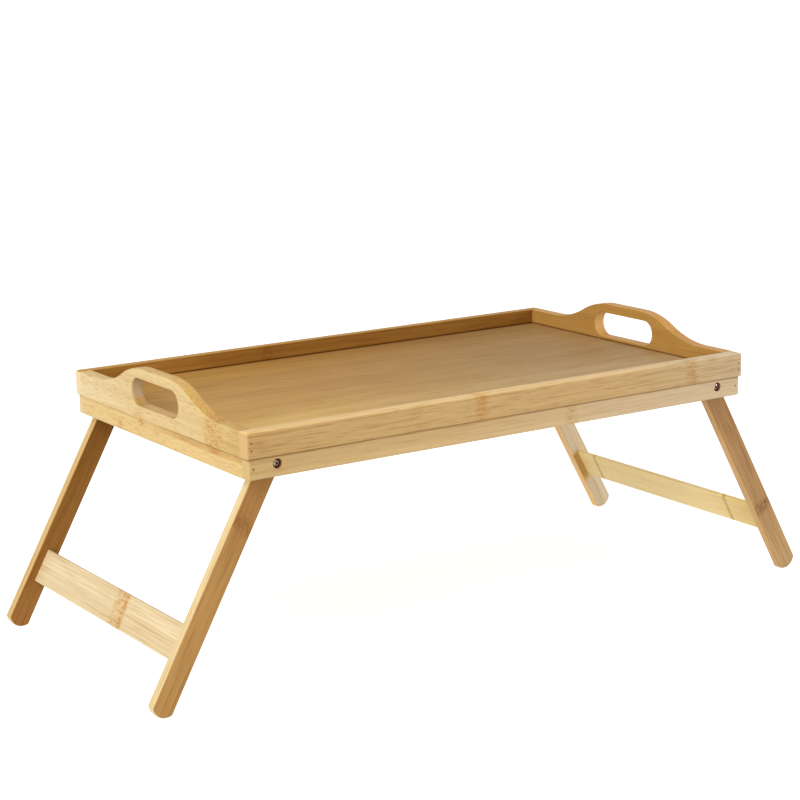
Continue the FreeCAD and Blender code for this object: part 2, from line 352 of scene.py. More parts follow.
def boreGroup():
    # Shade inside round holes, which lie alike at both ends and on both sides of the part.
    tree, given, made = newGroup("boreShade", [
        ("Color", "Color", white),
        ("Vector", "Vector", None),
        ("Tint", "Color", (0.4, 0.3, 0.2, 1)),
        ("Centre X", "Float", 0.2),
        ("Centre Z", "Float", 0.2),
        ("Radius", "Float", 0.004),
        ("Soft", "Float", 0.0003),
        ("Face", "Float", 0.15),
        ("Deep", "Float", 0.001),
    ], [("Color", "Color")])
    parts = addNode(tree, "SeparateXYZ", {0: given["Vector"]}).outputs
    along = calc(tree, "SUBTRACT", calc(tree, "ABSOLUTE", parts["X"]), given["Centre X"])
    rise = calc(tree, "SUBTRACT", parts["Z"], given["Centre Z"])
    squares = [calc(tree, "MULTIPLY", side, side) for side in (along, rise)]
    away = calc(tree, "SQRT", calc(tree, "ADD", *squares))
    mask = between(tree, away, calc(tree, "ADD", given["Radius"], given["Soft"]), given["Radius"])
    floor = calc(tree, "SUBTRACT", given["Face"], given["Deep"])
    deep = between(tree, calc(tree, "ABSOLUTE", parts["Y"]), given["Face"], floor)
    mask = calc(tree, "MULTIPLY", mask, deep)
    return stained(tree, mask, given, made)


platingTune = {"worn": (0.45, 0.68), "rough": 0.28, "wornRough": 0.22}


def metalGroup():
    # Plated steel: bright skin with dull spots.
    tree, given, made = newGroup("platedSteel", [
        ("Vector", "Vector", None),
        ("Bright", "Color", (0.6, 0.6, 0.6, 1)),
        ("Dull", "Color", (0.3, 0.3, 0.3, 1)),
        ("Scale", "Float", 900.0),
    ], [("Color", "Color"), ("Roughness", "Float")])
    values = {"Vector": given["Vector"], "Scale": given["Scale"], "Detail": 3.0}
    worn = between(tree, addNode(tree, "TexNoise", values).outputs[0], *platingTune["worn"])
    rough = calc(tree, "MULTIPLY_ADD", worn, platingTune["wornRough"], platingTune["rough"])
    tree.links.new(mixColour(tree, worn, given["Bright"], given["Dull"]), made["Color"])
    tree.links.new(rough, made["Roughness"])
    return tree


grain = grainGroup()
knuckle = knuckleGroup()
patch = patchGroup()
bore = boreGroup()
plating = metalGroup()

boardTones = {
    "Pale": (1.12, 1.15, 1.2), "Deep": (0.86, 0.8, 0.72),
    "Fibre": (0.69, 0.55, 0.39), "End Colour": (1.04, 1.02, 1.1),
}
faceTune = {
    # how squarely a face looks along an axis to count as that side
    "face": (0.55, 0.85), "level": (0.45, 0.75), "untilted": (0.45, 0.15),
    "bump": 0.12, "bumpHeight": 0.2 * mm, "gloss": 0.25,
}


def newMaterial(name):
    material = bpy.data.materials.new(name)
    material.use_nodes = True
    tree = material.node_tree
    tree.nodes.clear()
    shader = addNode(tree, "BsdfPrincipled")
    addNode(tree, "OutputMaterial", {"Surface": shader.outputs[0]})
    return material, tree, shader


def rgb(red, green, blue):
    # Screen colour out of 255 to the linear value that a shader takes.
    parts = [part / 255 for part in (red, green, blue)]
    return tuple(part / 12.92 if part <= 0.04045 else ((part + 0.055) / 1.055) ** 2.4 for part in parts)


def opaque(value):
    # Colours are written as three numbers, and a socket takes a fourth.
    return value + (1.0,) if isinstance(value, tuple) else value


def shades(colour, spread):
    # The four tones of a board about its middle colour.
    def tone(steps):
        return tuple(min(part * (1 + (step - 1) * spread), 1.0) for part, step in zip(rgb(*colour), steps))

    return {label: tone(steps) for label, steps in boardTones.items()}


def toned(tint, x=None, z=None, soft=1.0):
    # Settings of a patch: x and z hold its centre and its reach.
    spot = {"Tint": tint, "Soft": soft}
    for axis, span in (("X", x), ("Z", z)):
        if span:
            spot["Centre " + axis], spot["Reach " + axis] = span
    return spot


def addGroup(tree, group, links, values):
    node = tree.nodes.new("ShaderNodeGroup")
    node.node_tree = group
    for label, socket in links.items():
        tree.links.new(socket, node.inputs[label])
    for label, value in values.items():
        node.inputs[label].default_value = opaque(value)
    return node.outputs


def bambooMaterial(name, look):
    # look: middle colour, the grain's origin and turn and values, and what lies on it: marks of the wood, and
    # painted light and shade.
    material, tree, shader = newMaterial(name)
    source = addNode(tree, "TexCoord").outputs
    turn = tuple(math.radians(angle) for angle in look.get("turn", (0, 0, 0)))
    values = {"Vector": source["Object"], "Location": look.get("origin", (0, 0, 0)), "Rotation": turn}
    place = addNode(tree, "Mapping", values, vector_type="TEXTURE").outputs[0]
    values = {"Vector": source["Normal"], "Rotation": turn}
    facing = addNode(tree, "Mapping", values, vector_type="TEXTURE").outputs[0]
    faces = addNode(tree, "SeparateXYZ", {0: facing}).outputs
    tune = faceTune
    end = between(tree, calc(tree, "ABSOLUTE", faces["X"]), *tune["face"])
    across = calc(tree, "ABSOLUTE", faces["Y"])
    inside = look.get("inside")  # -1 or 1 where the side tint and side patches go on only one of the wide faces
    wide = between(tree, calc(tree, "MULTIPLY", faces["Y"], inside) if inside else across, *tune["face"])
    upper = between(tree, faces["Z"], *tune["level"])
    # Painted highlight: the rounded arrises keep the paler untinted colour where the top tint stops.
    if look.get("paleArris"):
        upper = calc(tree, "MULTIPLY", upper, between(tree, across, *tune["untilted"]))
    lower = between(tree, faces["Z"], *(-bound for bound in tune["level"]))
    tones = dict(shades(look["colour"], look.get("spread", 1.0)), **look.get("grain", {}))
    if "ends" in look:
        tones["End Colour"] = rgb(*look["ends"])
    wood = addGroup(tree, grain, {"Vector": place, "End": end}, tones)
    colour = wood["Color"]
    # The side, top and under tints are painted light and shade, in places also a browner wood: faces that
    # look sideways, up or down are made lighter or darker for how light falls on them.
    for key, mask in (("side", wide), ("top", upper), ("under", lower)):  # painted light and shade by face direction
        if key in look:
            colour = mixColour(tree, mask, colour, opaque(look[key]), "MULTIPLY")
    for key, group, links in (
        ("patches", patch, {}), ("sidePatches", patch, {"Amount": wide}),
        ("topPatches", patch, {"Amount": upper}), ("knuckles", knuckle, {}),
        ("sideKnuckles", knuckle, {"Amount": wide}), ("bores", bore, {}),
    ):
        for spot in look.get(key, ()):
            colour = addGroup(tree, group, dict(links, Color=colour, Vector=place), spot)["Color"]
    tree.links.new(colour, shader.inputs["Base Color"])
    tree.links.new(wood["Roughness"], shader.inputs["Roughness"])
    values = {"Strength": tune["bump"], "Distance": tune["bumpHeight"], "Height": wood["Height"]}
    tree.links.new(addNode(tree, "Bump", values).outputs[0], shader.inputs["Normal"])
    shader.inputs["Specular IOR Level"].default_value = look.get("gloss", tune["gloss"])
    return material


def steelMaterial(name, look):
    material, tree, shader = newMaterial(name)
    place = addNode(tree, "TexCoord").outputs["Object"]
    tones = {"Bright": rgb(*look["bright"]), "Dull": rgb(*look["dull"])}
    skin = addGroup(tree, plating, {"Vector": place}, tones)
    colour = skin["Color"]
    for spot in look.get("bores", ()):
        colour = addGroup(tree, bore, {"Color": colour, "Vector": place}, spot)["Color"]
    tree.links.new(colour, shader.inputs["Base Color"])
    tree.links.new(skin["Roughness"], shader.inputs["Roughness"])
    shader.inputs["Metallic"].default_value = look["metal"]
    return material


print("finishes are ready")


# Shaping helpers

shaping = {"near": 1e-5, "weld": 1e-6, "fineWeld": 1e-7, "sliver": 1e-8, "sharp": 40.0, "turnSteps": 48}


def boxShape(low, high):
    bm = bmesh.new()
    bmesh.ops.create_cube(bm, size=1.0)
    bmesh.ops.scale(bm, vec=[top - bottom for bottom, top in zip(low, high)], verts=bm.verts)
    bmesh.ops.translate(bm, vec=[(top + bottom) / 2 for bottom, top in zip(low, high)], verts=bm.verts)
    return bm


def near(value, target):
    return abs(value - target) < shaping["near"]


def bothAt(axis, target):
    # True for an edge with both ends at that coordinate.
    index = "xyz".index(axis)
    return lambda a, b: near(a[index], target) and near(b[index], target)


def roundEdges(bm, radius, wanted, steps=3):
    # wanted gets both ends of an edge.
    edges = [edge for edge in bm.edges if wanted(*(vert.co for vert in edge.verts))]
    bmesh.ops.bevel(bm, geom=edges, offset=radius, offset_type="OFFSET", segments=steps,
                    profile=0.5, affect="EDGES", clamp_overlap=True, material=-1)


def sweep(bm, start, centre, axis, angle, steps):
    # Arc of edges from one vertex; returns its last vertex.
    swept = bmesh.ops.spin(bm, geom=[start], cent=centre, axis=axis, dvec=(0, 0, 0), angle=angle,
                           steps=steps, use_merge=False, use_duplicate=False)
    return [part for part in swept["geom_last"] if isinstance(part, bmesh.types.BMVert)][0]


def thicken(bm, depth):
    # Fills the outline and draws it out into a board.
    face = bmesh.ops.contextual_create(bm, geom=bm.edges[:])["faces"]
    drawn = bmesh.ops.extrude_face_region(bm, geom=face)["geom"]
    verts = [part for part in drawn if isinstance(part, bmesh.types.BMVert)]
    bmesh.ops.translate(bm, vec=depth, verts=verts)


def joined(shapes):
    # Several shapes in one bmesh.
    whole = bmesh.new()
    for bm in shapes:
        mesh = bpy.data.meshes.new("part")
        bm.to_mesh(mesh)
        bm.free()
        whole.from_mesh(mesh)
        bpy.data.meshes.remove(mesh)
    return whole


def cut(piece, cutters):
    # Cuts other shapes out of a piece and keeps the result as its mesh.
    for bm in cutters:
        mesh = bpy.data.meshes.new("cutter")
        bm.to_mesh(mesh)
        bm.free()
        tool = bpy.data.objects.new("cutter", mesh)
        bpy.context.scene.collection.objects.link(tool)
        change = piece.modifiers.new("cut", "BOOLEAN")
        change.operation = "DIFFERENCE"
        change.solver = "EXACT"
        change.object = tool
        graph = bpy.context.evaluated_depsgraph_get()
        carved = bpy.data.meshes.new_from_object(piece.evaluated_get(graph))
        piece.modifiers.clear()
        piece.data = carved
        bpy.data.objects.remove(tool)


def addPiece(name, bm, material, body, nodes, cutters=()):
    # The shape becomes a piece that rides on its body and stands for its nodes.
    bmesh.ops.remove_doubles(bm, verts=bm.verts, dist=shaping["weld"])
    bmesh.ops.recalc_face_normals(bm, faces=bm.faces)
    mesh = bpy.data.meshes.new(name)
    bm.to_mesh(mesh)
    bm.free()
    piece = bpy.data.objects.new(name, mesh)
    bpy.context.scene.collection.objects.link(piece)
    cut(piece, cutters)
    piece.data.materials.clear()
    piece.data.materials.append(material)
    piece.data.shade_smooth()
    piece.data.set_sharp_from_angle(angle=math.radians(shaping["sharp"]))
    piece.modifiers.new("evenShading", "WEIGHTED_NORMAL").keep_sharp = True
    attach(piece, body)
    if nodes:
        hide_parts(*nodes)


def addBoard(node, ending, bm, look, body, cutters=()):
    # A wooden piece that stands for one node.
    material = bambooMaterial(node.replace("_", "") + "Bamboo", look)
    addPiece(node + ending, bm, material, body, [node], cutters)


def turned(points):
    # Spins a profile of (radius, y) round the y axis.
    bm = bmesh.new()
    verts = [bm.verts.new((radius, y, 0)) for radius, y in points]
    for first, second in zip(verts, verts[1:]):
        bm.edges.new((first, second))
    bmesh.ops.spin(bm, geom=bm.verts[:] + bm.edges[:], cent=(0, 0, 0), axis=(0, 1, 0), dvec=(0, 0, 0),
                   angle=2 * math.pi, steps=shaping["turnSteps"], use_merge=True)
    bmesh.ops.remove_doubles(bm, verts=bm.verts, dist=shaping["fineWeld"])
    bmesh.ops.dissolve_degenerate(bm, dist=shaping["sliver"], edges=bm.edges)
    bmesh.ops.recalc_face_normals(bm, faces=bm.faces)
    return bm


def rodShape(radius, start, length, steps=40):
    # Cylinder along +y.
    bm = bmesh.new()
    bmesh.ops.create_cone(bm, cap_ends=True, segments=steps, radius1=radius, radius2=radius, depth=length)
    bmesh.ops.rotate(bm, cent=(0, 0, 0), matrix=Matrix.Rotation(math.pi / 2, 3, "X"), verts=bm.verts)
    bmesh.ops.translate(bm, vec=Vector(start) + Vector((0, length / 2, 0)), verts=bm.verts)
    return bm


# Brads, flat wire nails that hold the corners

bradSizes = {
    "width": 1.2 * mm, "depth": 1.0 * mm, "length": 21.8 * mm, "headHeight": 1.5 * mm,
    "headDepth": 0.8 * mm, "sunk": 0.1 * mm, "play": 0.06 * mm, "clear": 0.1 * mm, "edge": 0.2 * mm,
}
bradLook = {"bright": (128, 92, 56), "dull": (92, 62, 36), "metal": 0.25}


def bradParts(x, face, z, side, grow=0.0):
    # Head and shank of one brad; grow makes the bore that it stands in.
    size = bradSizes
    inwards = -side
    start = face + inwards * (-size["clear"] if grow else size["sunk"])
    head = size["headHeight"], size["sunk"] + size["headDepth"]
    shank = size["depth"], size["length"]
    parts = []
    for tall, end in (head, shank):
        half = Vector((size["width"] / 2 + grow, 0, tall / 2 + grow))
        finish = face + inwards * (end + grow)
        low = Vector((x - half.x, min(start, finish), z - half.z))
        high = Vector((x + half.x, max(start, finish), z + half.z))
        parts.append(boxShape(low, high))
    return parts


def bradBores(face, side, places):
    # Two cutters for one board: all the head pits, and all the shank bores.
    pairs = [bradParts(end * x, face, z, side, bradSizes["play"]) for x, z in places for end in (-1, 1)]
    return [joined(shapes) for shapes in zip(*pairs)]


def makeBrads(node, face, places):
    shapes = []
    for side in (-1, 1):
        for x, z in places:
            for end in (-1, 1):
                for part in bradParts(end * x, side * abs(face), z, side):
                    roundEdges(part, bradSizes["edge"], lambda a, b: True, steps=2)
                    shapes.append(part)
    material = steelMaterial(node.replace("_", "") + "Steel", bradLook)
    addPiece(node + "_wire", joined(shapes), material, "tray", [node])


# Long rails

panelLow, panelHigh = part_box("tray_panel")
railSizes = {
    "corner": 2.4 * mm, "edge": 0.9 * mm, "bradEnd": 0.24575, "bradRises": (3.2 * mm, 8.9 * mm),
    "groovePlay": 0.4 * mm,
    "grooveRoom": 0.8 * mm,  # dark line over the panel
}
railBrads = [(railSizes["bradEnd"], panelLow.z + rise) for rise in railSizes["bradRises"]]
# Painted shade along an inner face just above the panel, where the groove lies.
grooveShadow = toned((0.6, 0.48, 0.32), z=(panelHigh.z, 0.0022), soft=0.7)
railLooks = {
    "front_rail": {
        # The top tint is a painted highlight on the top face.
        "colour": (205, 169, 114), "ends": (202, 169, 120), "top": (1.36, 1.46, 1.54), "gloss": 0.1,
        "grain": {
            "Seed": 1.0, "Strip Contrast": 0.2, "Streak Length": 0.12, "Streak Width": 0.003,
            "Streak Contrast": 1.0, "Fibre Length": 0.02, "Fibre Width": 0.0011,
            "Fibre Amount": 0.6, "Line Amount": 0.4,
        },
        "topPatches": [toned((0.86, 0.85, 0.92), x=(0.26, 0.28))],
        # A darker stretch at the left end, and a bluish paler one at the right end that is painted sheen.
        "patches": [toned((0.94, 0.9, 0.84), x=(-0.25, 0.2)), toned((1.0, 1.13, 1.6), x=(0.28, 0.2))],
        "knuckles": [
            {"Place": -0.0328, "Width": 0.009, "Amount": 0.9, "Tint": (0.88, 0.7, 0.45)},
            {"Place": 0.1909, "Width": 0.01, "Amount": 0.9, "Tint": (0.84, 0.68, 0.46)},
        ],
    },
    "back_rail": {
        # The top and the inner face are tinted apart: the inner face is darker, partly painted shade and
        # partly a browner wood.
        "colour": (216, 164, 92), "ends": (222, 198, 158), "top": (0.78, 0.76, 0.52), "gloss": 0.03,
        "inside": -1, "side": (0.59, 0.52, 0.37), "grain": {"Seed": 2.0},
        "sidePatches": [toned((0.8, 0.76, 0.66), x=(0.1, 0.32), soft=0.5), grooveShadow],
        "knuckles": [{"Place": -0.065, "Width": 0.01, "Amount": 0.5}],
    },
}


def grooveShape():
    play, room = railSizes["groovePlay"], railSizes["grooveRoom"]
    low = Vector((panelLow.x - play, panelLow.y - play, panelLow.z))
    high = Vector((panelHigh.x + play, panelHigh.y + play, panelHigh.z + room))
    return boxShape(low, high)


def makeRails():
    for node, side in (("front_rail", -1), ("back_rail", 1)):
        low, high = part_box(node)
        outer, inner = (low.y, high.y) if side < 0 else (high.y, low.y)
        atInner, atOuter = bothAt("y", inner), bothAt("y", outer)
        top, bottom = bothAt("z", high.z), bothAt("z", low.z)
        upright = lambda a, b: atOuter(a, b) and not near(a.z, b.z)
        big = lambda a, b: not atInner(a, b) and (top(a, b) or upright(a, b))
        small = lambda a, b: top(a, b) and atInner(a, b) or bottom(a, b) and not atInner(a, b)
        bm = boxShape(low, high)
        roundEdges(bm, railSizes["corner"], big, steps=5)
        roundEdges(bm, railSizes["edge"], small)
        cutters = [grooveShape()] + bradBores(outer, side, railBrads)
        addBoard(node, "_board", bm, railLooks[node], "tray", cutters)


makeRails()
makeBrads("rail_brads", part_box("front_rail")[0].y, railBrads)
print("long rails are made")


# Handle boards

handleSizes = {
    "crest": 43.0 * mm, "shoulder": 84.0 * mm, "crestShare": 0.45, "railTop": 213.222 * mm,
    "slotLength": 82.0 * mm, "slotHeight": 22.8 * mm, "slotLift": 3.2 * mm, "slotShadeOver": 0.3 * mm,
    "edge": 0.9 * mm, "outerEdge": 1.7 * mm, "slack": 0.1 * mm, "bendSteps": 14, "slotSteps": 20,
}
slotRadius = handleSizes["slotHeight"] / 2
slotEnd = handleSizes["slotLength"] / 2 - slotRadius
slotLow = panelHigh.z + handleSizes["slotLift"]
slotShade = {
    "Tint": (0.8, 0.76, 0.78), "Centre X": slotEnd, "Centre Z": slotLow + slotRadius,
    "Radius": slotRadius + handleSizes["slotShadeOver"], "Soft": 0.0004, "Face": 0.25, "Deep": 0.003,
}
dashes = {"Fibre Length": 0.012, "Fibre Width": 0.0013, "Fibre Amount": 0.6, "Line Amount": 0.25}
handleLooks = {
    "left_handle_board": {
        "colour": (206, 181, 131), "turn": (0, 0, 90), "top": (1.1, 0.91, 0.58), "paleArris": True,
        "gloss": 0.06, "grain": dict(dashes, Seed=3.0), "bores": [slotShade],
        # The lighter, bluer stretches on the top, and the bluish patch over one end, are painted light.
        "topPatches": [toned((1.08, 1.18, 1.4), x=(0.12, 0.1)), toned((1.04, 1.1, 1.25), x=(0.0, 0.05))],
        "patches": [
            toned((0.88, 0.84, 0.72), x=(-0.125, 0.06), z=(0.199, 0.014)),
            toned((0.95, 0.95, 0.86), x=(-0.12, 0.1)), toned((0.88, 0.78, 0.65), x=(-0.15, 0.05)),
            toned((1.08, 1.16, 1.35), x=(0.15, 0.13)),
        ],
        "knuckles": [
            {"Place": -0.097, "Width": 0.022},
            {"Place": 0.03, "Width": 0.01, "Amount": 0.7, "Level": 0.194, "Tall": 0.007},
        ],
    },
    "right_handle_board": {
        # The inner face is darkened as painted shade, and a painted shadow line runs along its foot.
        "colour": (214, 170, 104), "turn": (0, 0, 90), "top": (0.96, 0.86, 0.78), "gloss": 0.05,
        "inside": 1, "side": (0.62, 0.57, 0.42), "sidePatches": [grooveShadow],
        "grain": {"Seed": 4.0, "Fibre Amount": 0.35, "Streak Contrast": 0.9, "Line Amount": 0.2},
    },
}


def handleShape(node):
    # Half of the outline with half of the slot, drawn out and mirrored.
    low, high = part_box(node)
    size = handleSizes
    rise = high.z - size["railTop"]
    turn = 2 * math.atan2(rise, size["shoulder"])
    radii = size["shoulder"] / math.sin(turn)
    upper = radii * size["crestShare"]
    lower = radii - upper
    crestEnd = size["crest"] / 2
    shoulderEnd = crestEnd + size["shoulder"]
    bm = bmesh.new()
    corner = lambda y, z: bm.verts.new((low.x, y, z))
    crestMiddle, crest = corner(0, high.z), corner(crestEnd, high.z)
    bend = sweep(bm, crest, (low.x, crestEnd, high.z - upper), (-1, 0, 0), turn, size["bendSteps"])
    centre = (low.x, shoulderEnd, size["railTop"] + lower)
    tail = sweep(bm, bend, centre, (1, 0, 0), turn, size["bendSteps"])
    outline = [tail, corner(high.y, size["railTop"]), corner(high.y, low.z), corner(0, low.z),
               corner(0, slotLow), corner(slotEnd, slotLow)]
    for first, second in zip(outline, outline[1:]):
        bm.edges.new((first, second))
    centre = (low.x, slotEnd, slotLow + slotRadius)
    slotTop = sweep(bm, outline[-1], centre, (1, 0, 0), math.pi, size["slotSteps"])
    slotMiddle = corner(0, slotLow + size["slotHeight"])
    bm.edges.new((slotTop, slotMiddle))
    bm.edges.new((slotMiddle, crestMiddle))
    bm.edges.new((crestMiddle, crest))
    thicken(bm, (high.x - low.x, 0, 0))
    seam = [face for face in bm.faces if all(near(vert.co.y, 0) for vert in face.verts)]
    bmesh.ops.delete(bm, geom=seam, context="FACES_ONLY")
    bmesh.ops.mirror(bm, geom=bm.verts[:] + bm.edges[:] + bm.faces[:], matrix=Matrix.Identity(4),
                     merge_dist=shaping["weld"], axis="Y")
    bmesh.ops.recalc_face_normals(bm, faces=bm.faces)

    bottom, middle = bothAt("z", low.z), bothAt("y", 0)
    slotTip = size["slotLength"] / 2 + size["slack"]
    slotRoof = slotLow + size["slotHeight"] + size["slack"]

    def rim(a, b, face):
        atEnd = near(abs(a.y), high.y) and near(abs(b.y), high.y)
        return bothAt("x", face)(a, b) and not (bottom(a, b) or atEnd or middle(a, b))

    def inSlot(a, b):
        return all(abs(end.y) < slotTip and end.z < slotRoof for end in (a, b))

    outer, inner = (low.x, high.x) if low.x < 0 else (high.x, low.x)
    roundEdges(bm, size["outerEdge"], lambda a, b: rim(a, b, outer) and not inSlot(a, b), steps=4)
    roundEdges(bm, size["edge"], lambda a, b: rim(a, b, inner) or rim(a, b, outer) and inSlot(a, b))
    return bm


def makeHandles():
    for node, look in handleLooks.items():
        addBoard(node, "_shaped", handleShape(node), look, "tray", [grooveShape()])


makeHandles()
print("handle boards are made")


# Panel

panelSizes = {"tongueStep": 0.2 * mm, "tongueDepth": 2.5 * mm}
panelLook = {
    "colour": (206, 164, 98), "turn": (90, 0, 0), "spread": 0.9, "gloss": 0.012, "inside": 1,
    "grain": {
        "Seed": 5.0, "Strip Width": 0.03, "Strip Contrast": 0.3, "Streak Length": 0.3,
        "Streak Width": 0.018, "Streak Contrast": 1.3, "Fibre Length": 0.045, "Fibre Width": 0.005,
        "Fibre Amount": 0.3, "Line Amount": 0.1,
    },
    # These patches are painted light and shade on the top face: a darker stretch, lighter ones, and bluish
    # painted sheen.
    "sidePatches": [
        toned((0.79, 0.68, 0.51), z=(-0.14, 0.24)), toned((1.12, 1.25, 1.55), z=(0.16, 0.13)),
        toned((1.2, 1.26, 1.2), x=(-0.2, 0.16), z=(0.13, 0.16)),
        toned((0.8, 0.86, 1.22), x=(0.18, 0.36)),
    ],
}


def makePanel():
    step = panelSizes["tongueStep"]
    bm = boxShape(panelLow, Vector((panelHigh.x, panelHigh.y, panelHigh.z - step)))
    top = [face for face in bm.faces if near(face.normal.z, 1)]
    bmesh.ops.inset_region(bm, faces=top, thickness=panelSizes["tongueDepth"])
    raised = bmesh.ops.extrude_discrete_faces(bm, faces=top)["faces"]
    bmesh.ops.translate(bm, vec=(0, 0, step), verts=list({vert for face in raised for vert in face.verts}))
    material = bambooMaterial("panelBamboo", panelLook)
    addPiece("tray_panel_sheet", bm, material, "tray", ["tray_panel"])


makePanel()
print("panel is made")


# Aprons

apronSizes = {
    "corner": 2.0 * mm, "edge": 0.9 * mm, "shortEdge": 1.0 * mm, "bore": 1.55 * mm, "boreLength": 0.012,
    "counterbore": 4.0 * mm, "seat": 4.0 * mm, "clear": 0.001,
}
apronBrads = [(0.24365, 184.022 * mm)]
pivotX, pivotZ = next(joint["pos_m"][::2] for joint in frame["joints"] if joint["name"] == "right_leg_fold")
# Painted shadow line along the top of an apron, under the overhang of the rail or handle board above it.
overhangShadow = toned((0.62, 0.52, 0.36), z=(0.1923, 0.0019), soft=0.6)
# Painted shade inside the counterbores that the pivot screws sit in.
counterboreShade = {
    "Tint": (0.46, 0.32, 0.24), "Centre X": pivotX, "Centre Z": pivotZ, "Radius": 0.00405, "Face": 0.1483,
}
apronLooks = {
    "front_apron": {
        "colour": (210, 175, 120), "ends": (200, 171, 118), "spread": 0.8,
        "grain": {"Seed": 6.0, "Line Amount": 0.3}, "bores": [counterboreShade],
        # Patches: a bluish paler right end as painted sheen, a darker left end, and the painted shadow line
        # under the rail.
        "patches": [
            toned((1.02, 1.14, 1.64), x=(0.28, 0.4)), toned((0.91, 0.9, 0.84), x=(-0.26, 0.2)), overhangShadow,
        ],
        "knuckles": [{"Place": 0.06, "Width": 0.009, "Tint": (0.86, 0.71, 0.5)}],
    },
    "back_apron": {
        "colour": (214, 180, 126), "ends": (210, 184, 138), "grain": {"Seed": 7.0},
        "patches": [overhangShadow], "bores": [counterboreShade],
    },
    "left_apron": {
        "colour": (207, 178, 117), "turn": (0, 0, 90), "grain": dict(dashes, Seed=8.0),
        "patches": [
            # The first two patches are painted shadow under the handle board's overhang: a thin dark line at
            # the joint, and below it a darker strip that is partly that shadow and partly a strip of the
            # grain.
            toned((0.62, 0.52, 0.36), x=(-0.1, 0.12), z=(0.1923, 0.0019), soft=0.6),
            toned((0.88, 0.76, 0.56), x=(-0.09, 0.12), z=(0.1888, 0.0034), soft=0.6),
            toned((0.8, 0.62, 0.5), x=(0.146, 0.006), z=(0.179, 0.003)),
        ],
        "knuckles": [
            {"Place": -0.097, "Width": 0.016, "Level": 0.192, "Tall": 0.008},
            {"Place": 0.029, "Width": 0.01, "Amount": 0.9, "Level": 0.19, "Tall": 0.006},
            {"Place": 0.068, "Width": 0.008, "Level": 0.18, "Tall": 0.006},
        ],
    },
    "right_apron": {
        "colour": (220, 186, 130), "turn": (0, 0, 90), "grain": {"Seed": 9.0}, "patches": [overhangShadow],
    },
}


def makeAprons():
    size = apronSizes
    for node, side in (("front_apron", -1), ("back_apron", 1)):
        low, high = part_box(node)
        outer = low.y if side < 0 else high.y
        atOuter = bothAt("y", outer)
        bm = boxShape(low, high)
        roundEdges(bm, size["corner"], lambda a, b: atOuter(a, b) and not near(a.z, b.z), steps=4)
        roundEdges(bm, size["edge"], bothAt("z", low.z))
        cutters = bradBores(outer, side, apronBrads)
        for x in (-pivotX, pivotX):
            start = outer - size["clear"] if side < 0 else outer - size["seat"]
            cutters.append(rodShape(size["counterbore"], (x, start, pivotZ), size["seat"] + size["clear"]))
            cutters.append(rodShape(size["bore"], (x, low.y - size["clear"], pivotZ), size["boreLength"]))
        addBoard(node, "_board", bm, apronLooks[node], "tray", cutters)
    for node in ("left_apron", "right_apron"):
        low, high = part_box(node)
        bottom = bothAt("z", low.z)
        bm = boxShape(low, high)
        roundEdges(bm, size["shortEdge"], lambda a, b: bottom(a, b) and near(a.x, b.x))
        addBoard(node, "_board", bm, apronLooks[node], "tray")


makeAprons()
makeBrads("apron_brads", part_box("front_apron")[0].y, apronBrads)
print("aprons are made")


# Legs and crossbars

legSizes = {
    "width": 18.8 * mm, "reach": 210.8 * mm, "crown": 5.0 * mm, "splay": 29.1, "edge": 1.3 * mm,
    "footSteps": 18, "topSteps": 24,
}
barSizes = {"height": 29.2 * mm, "thickness": 4.0 * mm, "aboveTip": 41.4 * mm, "edge": 0.7 * mm}
legGrain = {"Fibre Length": 0.05, "Fibre Width": 0.0014, "Fibre Amount": 0.6, "Line Amount": 0.5}
trayShadeSpan = (0.0, 0.13)  # the stretch of a leg under the tray, darkened as the tray's painted shadow
# The side tints darken the wide faces as painted shade, and the patches over the stretch under the tray
# darken them further as the tray's painted shadow. Paler, bluer patches near the feet are painted light.
legLooks = {
    "left_front_leg": {
        "colour": (213, 190, 142), "ends": (218, 198, 158), "side": (0.74, 0.51, 0.28),
        "grain": dict(legGrain, Seed=10.0), "sidePatches": [toned((0.73, 0.63, 0.47), x=trayShadeSpan)],
        "sideKnuckles": [{"Place": 0.053, "Width": 0.009, "Slant": -0.35, "Tint": (0.74, 0.58, 0.44)}],
    },
    "left_back_leg": {
        "colour": (208, 178, 123), "ends": (218, 198, 158), "gloss": 0.05,
        "inside": -1, "side": (0.53, 0.35, 0.18), "grain": dict(legGrain, Seed=11.0),
        "sidePatches": [toned((0.78, 0.74, 0.66), x=trayShadeSpan), toned((1.12, 1.12, 1.32), x=(0.21, 0.07))],
    },
    "right_front_leg": {
        "colour": (204, 166, 112), "ends": (208, 182, 140), "spread": 1.4,
        "side": (0.72, 0.63, 0.54), "grain": dict(legGrain, Seed=12.0),
        "sidePatches": [toned((0.84, 0.78, 0.68), x=trayShadeSpan), toned((1.2, 1.34, 1.5), x=(0.205, 0.075))],
        "sideKnuckles": [{"Place": 0.139, "Width": 0.009, "Tint": (0.5, 0.36, 0.24)}],
    },
    "right_back_leg": {
        # On this leg the side tint and the under tint make the wide faces and the faces turned down paler, as
        # painted sheen and painted light.
        "colour": (224, 194, 150), "ends": (222, 204, 166), "spread": 0.9, "under": (1.26, 1.13, 0.8),
        "inside": -1, "side": (1.06, 1.14, 1.28), "grain": dict(legGrain, Seed=13.0),
        # Painted shadow of the crossbar on the wide face beside its end.
        "sidePatches": [toned((0.84, 0.7, 0.36), x=(0.155, 0.02), z=(-0.008, 0.008), soft=0.3)],
    },
}
thinBand = {"Amount": 1.0, "Broken": 0.2, "Tint": (0.66, 0.56, 0.34)}
